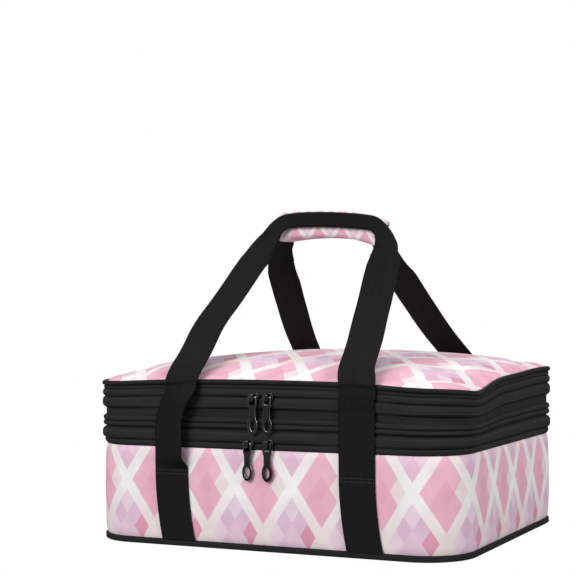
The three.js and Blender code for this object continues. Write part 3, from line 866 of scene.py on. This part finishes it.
webbing_finish, tree, shader, place = new_finish(
    "ribbed_webbing", "UV", Roughness=0.62, Specular_IOR_Level=0.08)
ribs = wave_height(tree, place, "X", 0.0016)
picks = wave_height(tree, place, "Y", 0.0011)
ribbed = add_node(tree, "ShaderNodeMath", {0: picks, 1: 0.35, 2: ribs}, operation="MULTIPLY_ADD")
drawn_out = add_node(tree, "ShaderNodeMapping", {"Vector": place, "Scale": (260.0, 9.0, 1.0)}).outputs[0]
two_tone(tree, shader, blotches(tree, drawn_out, 1.0, 3.0), shade(15, 15, 16), shade(26, 26, 27))
embossed(tree, shader, (ribbed.outputs[0], 0.6, 0.0003))


def folded_section(fold):
    """Middle line of the webbing's section as (across, out, direction) for points from one edge to the
    other. It is flat at fold 0 and doubled behind itself at fold 1; between these the crease moves in from
    one edge to the middle."""
    t_step = WEBBING_WIDTH / SECTION_STEPS
    crease = -WEBBING_WIDTH / 2 * (1 - fold)
    across = out = 0.0
    line = []
    for k in range(SECTION_STEPS + 1):
        t = WEBBING_WIDTH / 2 - k * t_step
        turn = math.pi * smooth(fold / 0.3) * smooth((CREASE_BEND - t + crease) / (2 * CREASE_BEND))
        line.append((across, out, turn))
        across -= math.cos(turn) * t_step
        out -= math.sin(turn) * t_step
    shift = (max(spot[0] for spot in line) + min(spot[0] for spot in line)) / 2
    lift = 4 * CREASE_BEND / math.pi * fold * fold
    return [(across - shift, out + lift, turn) for across, out, turn in line]


def ribbon(name, stations):
    """Webbing through stations of (centre, across, out, fold, distance along, width share)."""
    rows = []
    for centre, across, out, fold, _, narrow in stations:
        line = folded_section(fold)
        front = []
        back = []
        for k, (a, o, turn) in enumerate(line):
            half = WEBBING / 2 * (EDGE_THIN if k in (0, len(line) - 1) else 1.0)
            middle = centre + across * a * narrow + out * o
            normal = across * -math.sin(turn) + out * math.cos(turn)
            front.append(tuple(middle + normal * half))
            back.append(tuple(middle - normal * half))
        rows.append(front + back[::-1])
    count = len(rows[0])
    half_count = count // 2

    def cloth_place(r, k):
        k %= count
        k_line = k if k < half_count else count - 1 - k
        return WEBBING_WIDTH * (k_line / (half_count - 1) - 0.5), stations[r][4]

    return loft(name, rows, cloth_place, False, webbing_finish, crease=70)


SEWN_TOP = 0.079
SEWN_SKEW = 0.008
lift_low, lift_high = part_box("front_left_strap_lift")
STRAP_JOIN = lift_low.z
STRAP_TOP = lift_high.z + 0.0002
STRAP_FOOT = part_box("front_left_strap_sewn")[0].z
STRAP_OUT = (abs(lift_low.y) + abs(lift_high.y)) / 2
EDGE_LEVEL = cord_high.z
LEG_TOP = 0.314
LEFT_TWIST = 0.28
LEFT_SHIFT = 0.0125
REAR_DRIFT = -0.012
DRIFT_FOOT = 0.100
DRIFT_RISE = 0.090
LID_CLEAR = 0.0012
SEAM_DROPS = (0.0022, 0.0056)
SEAM_HALF = 0.0165
STATION_STEP = 0.003


def climb_share(level):
    """Share of the way up a handle's leg, from the lid's edge to just under the grip."""
    return clamped((level - EDGE_LEVEL) / (LEG_TOP - EDGE_LEVEL))


def between(amount, value, start, rise, end, fall):
    """An amount that comes in over a rise from the start and goes again over a fall from the end."""
    return amount * smooth((value - start) / rise) * (1 - smooth((value - end) / fall))


def strap_set(side, x, level, across, out):
    """How a strap has set, as its shift and turned directions. Each stands off a little by the lid's zip.
    The rear ones lean to the left. The front left one is turned above its seam, with its inner edge off
    the wall, and is drawn in towards the grip near the lid's edge."""
    off = between(LID_CLEAR, level, 0.138, 0.013, 0.155, 0.009)
    if side > 0:
        lean = REAR_DRIFT * smooth((level - DRIFT_FOOT) / DRIFT_RISE) * max(1 - 0.7 * climb_share(level), 0.65)
        return Vector((lean, off, 0)), across, out
    if x > 0:
        return Vector((0, -off, 0)), across, out
    turn = between(LEFT_TWIST, level, SEWN_TOP, 0.012, 0.140, 0.042)
    drawn = between(LEFT_SHIFT, level, 0.122, 0.045, 0.167, 0.055)
    half = WEBBING_WIDTH / 2
    shift = Vector((drawn - half * (1 - math.cos(turn)), -off - half * math.sin(turn), 0))
    turning = Matrix.Rotation(-turn, 3, "Z")
    return shift, turning @ across, turning @ out


def strap_run(name, side, x, low, high, skew):
    """Upright webbing on the front (side -1) or rear (side 1), its foot shifted by a skew."""
    stations = []
    steps = max(4, round((high - low) / STATION_STEP))
    for k, level in enumerate(even_steps(low, high, steps)):
        shift = -side * skew * (1 - k / steps) ** 2
        centre = Vector((x + shift, side * STRAP_OUT, level))
        moved, across, out = strap_set(side, x, level, Vector((-side, 0, 0)), Vector((0, side, 0)))
        stations.append((centre + moved, across, out, 0.0, level, 1.0))
    return ribbon(name, stations)


for place_name, side in (("front", -1), ("rear", 1)):
    for hand_name, hand in (("left", -1), ("right", 1)):
        node = f"{place_name}_{hand_name}_strap"
        x = hand * STRAP_X
        sewn = strap_run(f"{node}_sewn_webbing", side, x, STRAP_FOOT, SEWN_TOP, SEWN_SKEW)
        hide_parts(f"{node}_sewn")
        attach(sewn, "lower_body")
        face = side * (STRAP_OUT + WEBBING / 2)
        seam_rows = [([(x - SEAM_HALF, face, SEWN_TOP - drop), (x + SEAM_HALF, face, SEWN_TOP - drop)], False)
                     for drop in SEAM_DROPS]
        seam = grown(f"{node}_seam", stitch_tree, seam_rows, STITCH_SIZES)
        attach(seam, "lower_body")
        riser = strap_run(f"{node}_rising_webbing", side, x, SEWN_TOP, STRAP_JOIN, 0.0)
        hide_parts(f"{node}_riser")
        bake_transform(riser)
        lift = strap_run(f"{node}_lifting_webbing", side, x, STRAP_JOIN, STRAP_TOP, 0.0)
        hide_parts(f"{node}_lift")
        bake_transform(lift)


# Handles. Above the lid zip each loop leans in over the lid, and along the grip its webbing is doubled
# lengthwise. The front one lies outside the padded wrap and the rear one runs through it.
GRIP_HEIGHT = 0.330
GRIP_HALF = 0.062
GRIP_ARCH = 0.003
GRIP_LIFT = 0.005
GRIP_TILT = 0.003
GRIP_NARROW = 0.18
LEG_SLACK = 0.012
LEFT_BOW = Vector((-0.0055, -0.008, 0))
RIGHT_BOW = Vector((-0.0035, 0, 0))
GRIP_SHIFT = 0.0015
LEFT_PULL = 0.0025
RIGHT_PULL = 0.005
PULL_FOOT = 0.300
PULL_RISE = 0.020
WRAP_HANG = 0.004
HANDLE_STEPS = 170
EDGE_OUT = STRAP_OUT + cord_high.x - HALF_WIDTH


def mix(first, second, share):
    return first + (second - first) * share


def grip_tilt(x):
    """The grip hangs a little askew, its right end lower."""
    return -GRIP_TILT * x / GRIP_HALF


def wrap_hang(x):
    """The wrap sinks further at its right end, where the webbing draws it down."""
    return WRAP_HANG * smooth((x / GRIP_HALF - 0.4) / 0.7)


def smooth_run(knots, count):
    """Values along a curve that passes smoothly through rows of knot values, evenly by knot."""
    made = []
    for k in range(count + 1):
        spot = k / count * (len(knots) - 1)
        i = min(int(spot), len(knots) - 2)
        t = spot - i
        before, here, there, after = (knots[min(max(i + d, 0), len(knots) - 1)] for d in (-1, 0, 1, 2))
        made.append([
            0.5 * (2 * h + (n - p) * t + (2 * p - 5 * h + 4 * n - f) * t * t + (3 * h - p - 3 * n + f) * t ** 3)
            for p, h, n, f in zip(before, here, there, after)])
    return made


def handle(name, side, grip_y, grip_level, corner, gather):
    """One handle; its own front is the side that faces away from the middle. Its webbing turns down at a
    corner so far from the middle, and a gather folds it sooner. The front one's left leg bows out and its
    grip is pulled to the right."""
    half = [
        (STRAP_X, -STRAP_OUT, STRAP_TOP, 0.0, 0.0),
        (STRAP_X, -EDGE_OUT, lid_band_high.z, 0.0, 0.0),
        (STRAP_X, -EDGE_OUT, EDGE_LEVEL, 0.3, 0.0),
    ]
    for share, inward, lean, fold in (
            (0.10, 0.05, 0.7, 0.0), (0.30, 0.28, 0.8, 0.0), (0.50, 0.50, 0.8, 0.0), (0.68, 0.69, 0.8, 0.0),
            (0.82, 0.84, 0.75, 0.04 + gather), (0.94, 0.90, 0.6, 0.46 + gather)):
        slack = LEG_SLACK * 4 * inward * (1 - inward)
        half.append((mix(STRAP_X, corner + 0.0085, share ** 0.85), mix(-EDGE_OUT, grip_y, inward) + slack,
                     mix(EDGE_LEVEL, LEG_TOP, share), lean, fold))
    turn_y = mix(-EDGE_OUT, grip_y, 0.95) + LEG_SLACK * 0.19
    half += [
        (corner + 0.005, mix(turn_y, half[-1][1], 0.5), mix(LEG_TOP, grip_level, 0.05), 0.4, 0.75 + gather / 2),
        (corner - 0.001, turn_y, mix(LEG_TOP, grip_level, 0.56), 0.2, 0.96),
        (corner - 0.0095, mix(turn_y, grip_y, 0.7), mix(LEG_TOP, grip_level, 0.92), 0.05, 1.0),
        (corner - 0.020, grip_y, grip_level + GRIP_ARCH * 0.3, 0.0, 1.0),
        (corner * 0.4, grip_y, grip_level + GRIP_ARCH * 0.8, 0.0, 1.0),
    ]
    knots = half + [(0.0, grip_y, grip_level + GRIP_ARCH, 0.0, 1.0)]
    knots += [(-x, y, z, lean, fold) for x, y, z, lean, fold in reversed(half)]
    values = smooth_run(knots, HANDLE_STEPS)
    centres = []
    for x, y, z, _, _ in values:
        centre = Vector((x, y, z)) if side < 0 else Vector((-x, -y, z))
        climb = climb_share(z)
        held = smooth((climb - 0.7) / 0.3)
        shift = Vector((0, 0, grip_tilt(centre.x) * held))
        if side < 0:
            shift += between(1.0, climb, 0.12, 0.35, 0.75, 0.25) * (LEFT_BOW if centre.x < 0 else RIGHT_BOW)
            pull = smooth((z - PULL_FOOT) / PULL_RISE) * smooth((abs(centre.x) - 0.015) / 0.045)
            shift.x += GRIP_SHIFT + (LEFT_PULL if centre.x < 0 else RIGHT_PULL) * pull
        else:
            shift.z -= wrap_hang(centre.x) * held
        centres.append(centre + shift)
    stations = []
    along_total = 0.0
    for k, (_, _, z, lean, fold) in enumerate(values):
        along = (centres[min(k + 1, len(values) - 1)] - centres[max(k - 1, 0)]).normalized()
        facing = Vector((0, side * math.cos(lean), math.sin(lean)))
        across = -facing.cross(along).normalized()
        out = -along.cross(across).normalized()
        if k:
            along_total += (centres[k] - centres[k - 1]).length
        moved, across, out = strap_set(side, centres[k].x, z, across, out)
        fold = clamped(fold)
        stations.append((centres[k] + moved, across, out, fold, along_total, 1.0 - GRIP_NARROW * fold ** 6))
    return ribbon(name, stations)


wrap_low, wrap_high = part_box("grip_wrap")
front_handle = handle("front_handle_loop", -1, wrap_low.y - 0.0013, GRIP_HEIGHT + GRIP_LIFT, 0.0625, 0.0)
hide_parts("front_handle_webbing")
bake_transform(front_handle)
rear_handle = handle("rear_handle_loop", 1, -0.0085, GRIP_HEIGHT, 0.0545, 0.22)
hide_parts("rear_handle_webbing")
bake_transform(rear_handle)


# Grip wrap. A padded flap of the printed cloth, sewn along the front handle and folded round behind,
# where its lips close over the rear handle with a strip of hook tape and one of loop tape.
WRAP_WALL = 0.0040
WRAP_STATIONS = 44
WRAP_HEIGHT = 0.029
WRAP_DROOP = 0.25
WRAP_SQUEEZE = 0.12
WRAP_PINCH = 0.10
WRAP_ROUND = 0.006
WRAP_LIP = 0.0012
MERGE = 1e-6
wrap_depth = (wrap_high.y - wrap_low.y) / 2


def wrap_outline():
    """Section of the wrap as (y, z): the outside from the upper lip round the front, then the inside."""
    top = WRAP_HEIGHT / 2
    bend_y = -wrap_depth + WRAP_ROUND
    bend_z = top - WRAP_ROUND
    outside = [(wrap_depth, top - WRAP_LIP), (wrap_depth - WRAP_LIP, top)]
    outside += [(mix(wrap_depth - 0.003, bend_y, k / 8), top) for k in range(9)]
    for k in range(1, 8):
        angle = math.pi / 2 + math.pi / 2 * k / 8
        outside.append((bend_y + WRAP_ROUND * math.cos(angle), bend_z + WRAP_ROUND * math.sin(angle)))
    outside += [(-wrap_depth, mix(bend_z, 0.0, k / 4)) for k in range(4)]
    outside.append((-wrap_depth, 0.0))
    outside += [(y, -z) for y, z in reversed(outside[:-1])]
    inside = []
    for y, z in reversed(outside):
        inner_z = max(min(z, top - WRAP_WALL), WRAP_WALL - top)
        inner_y = max(y, -wrap_depth + WRAP_WALL)
        if not inside or math.dist(inside[-1], (inner_y, inner_z)) > MERGE:
            inside.append((inner_y, inner_z))
    return outside, inside


outside, inside = wrap_outline()
wrap_section = outside + inside
wrap_rows = []
for k in range(WRAP_STATIONS + 1):
    share = 2 * k / WRAP_STATIONS - 1
    puff = 1 - WRAP_PINCH * max(0.0, (abs(share) - 0.9) / 0.1) ** 2
    row = []
    for y, z in wrap_section:
        droop = 1 + WRAP_DROOP * share ** 2 if z < 0 else 1 - WRAP_SQUEEZE * smooth((share - 0.45) / 0.5)
        level = GRIP_HEIGHT + GRIP_ARCH * (1 - share ** 2) + grip_tilt(share * GRIP_HALF)
        level -= wrap_hang(share * GRIP_HALF)
        row.append((share * GRIP_HALF, y, level + z * droop * puff))
    wrap_rows.append(row)
around = [0.0]
for (y0, z0), (y1, z1) in zip(wrap_section, wrap_section[1:]):
    around.append(around[-1] + math.hypot(y1 - y0, z1 - z0))


def wrap_place(r, k):
    return GRIP_HALF * (2 * r / WRAP_STATIONS - 1), around[k % len(around)]


wrap_print = printed_cloth("wrap_print", "UV", (0.004, 0.061), size=0.44)
grip_wrap = loft("grip_padded_wrap", wrap_rows, wrap_place, False, wrap_print, crease=60)
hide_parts("grip_wrap")
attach(grip_wrap, "front_handle")

pile, tree, shader, place = new_finish("closure_pile", "Object", Roughness=0.95)
loops = add_node(tree, "ShaderNodeTexVoronoi", {"Vector": place, "Scale": 1100.0}).outputs["Distance"]
two_tone(tree, shader, loops, shade(44, 44, 46), shade(20, 20, 21))
embossed(tree, shader, (loops, 0.8, 0.0004))


def merged_copy(name, node):
    """A copy of a CAD piece's mesh without its material, and a shell with its corners merged."""
    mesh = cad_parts[node].data.copy()
    mesh.name = name
    mesh.materials.clear()
    shell = bmesh.new()
    shell.from_mesh(mesh)
    bmesh.ops.remove_doubles(shell, verts=shell.verts, dist=MERGE)
    return mesh, shell


for name in ("grip_hook_tape", "grip_loop_tape"):
    strip_mesh, shell = merged_copy(f"{name}_strip", name)
    for vertex in shell.verts:
        vertex.co.z += grip_tilt(vertex.co.x) - wrap_hang(vertex.co.x)
    shell.to_mesh(strip_mesh)
    shell.free()
    strip = dress(strip_mesh, pile)
    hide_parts(name)
    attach(strip, "front_handle")


# Sliders and pulls. Cast zinc with a glossy gunmetal finish: a waisted slider with a bridge, and a pull
# that hangs on the bridge by a bar, with a narrow ridged shank and an oval hole in its bulb.
gunmetal = mottled("gunmetal", 420.0, 3.0, (50, 50, 52), (84, 84, 87), Metallic=1.0, Roughness=0.2)
# A lighter metal for the bevelled rims: a painted highlight along the edges of the sliders and pulls.
painted_highlight_metal = mottled("painted_highlight_rim", 260.0, 3.0, (96, 96, 99), (172, 172, 176), Metallic=1.0, Roughness=0.22)
RIDGES = [0.0122, 0.0138, 0.0154, 0.0170, 0.0186]
RIDGE_WIDTH = 0.0050
RIDGE_DEPTH = 0.0010
RIDGE_RISE = 0.0008
FLAT_ANGLE = math.radians(4)
SHARP_ANGLE = math.radians(32)
PULL_BEVEL = 0.00075
SLIDER_BEVEL = 0.00045


def bevelled_copy(name, node, width):
    """A merged copy of a cast piece with its edges rounded over and the rounded faces in a lighter metal, a
    painted highlight along its rims, and with ridges across the shank of a pull."""
    mesh, shell = merged_copy(name, node)
    bmesh.ops.dissolve_limit(shell, angle_limit=FLAT_ANGLE, verts=shell.verts, edges=shell.edges)
    sharp = [edge for edge in shell.edges if edge.calc_face_angle(0) > SHARP_ANGLE]
    # The bevel faces take the second slot, the lighter metal of the painted highlight.
    bmesh.ops.bevel(shell, geom=sharp, offset=width, segments=3, profile=0.5, affect="EDGES", clamp_overlap=True,
                    material=1)
    bmesh.ops.dissolve_degenerate(shell, dist=MERGE, edges=shell.edges)
    bmesh.ops.triangulate(shell, faces=[face for face in shell.faces if len(face.verts) > 4])
    low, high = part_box(node)
    for drop in RIDGES if node.endswith("_pull") else []:
        if high.y - low.y < high.x - low.x:
            middle, size = ((low.x + high.x) / 2, low.y, high.z - drop), (RIDGE_WIDTH, RIDGE_DEPTH, RIDGE_RISE)
        else:
            middle, size = (low.x, (low.y + high.y) / 2, high.z - drop), (RIDGE_DEPTH, RIDGE_WIDTH, RIDGE_RISE)
        bmesh.ops.create_cube(shell, size=1.0, matrix=Matrix.LocRotScale(Vector(middle), None, Vector(size)))
    shell.to_mesh(mesh)
    shell.free()
    cast = dress(mesh, gunmetal, crease=35)
    # Second slot: the lighter metal of the painted highlight on the rims.
    mesh.materials.append(painted_highlight_metal)
    return cast


for zip_name in ("upper_left", "upper_right", "lower_left", "lower_right", "expander"):
    for piece_name in ("slider", "pull"):
        node = f"{zip_name}_{piece_name}"
        cast = bevelled_copy(f"{node}_cast", node, PULL_BEVEL if piece_name == "pull" else SLIDER_BEVEL)
        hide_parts(node)
        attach(cast, node)
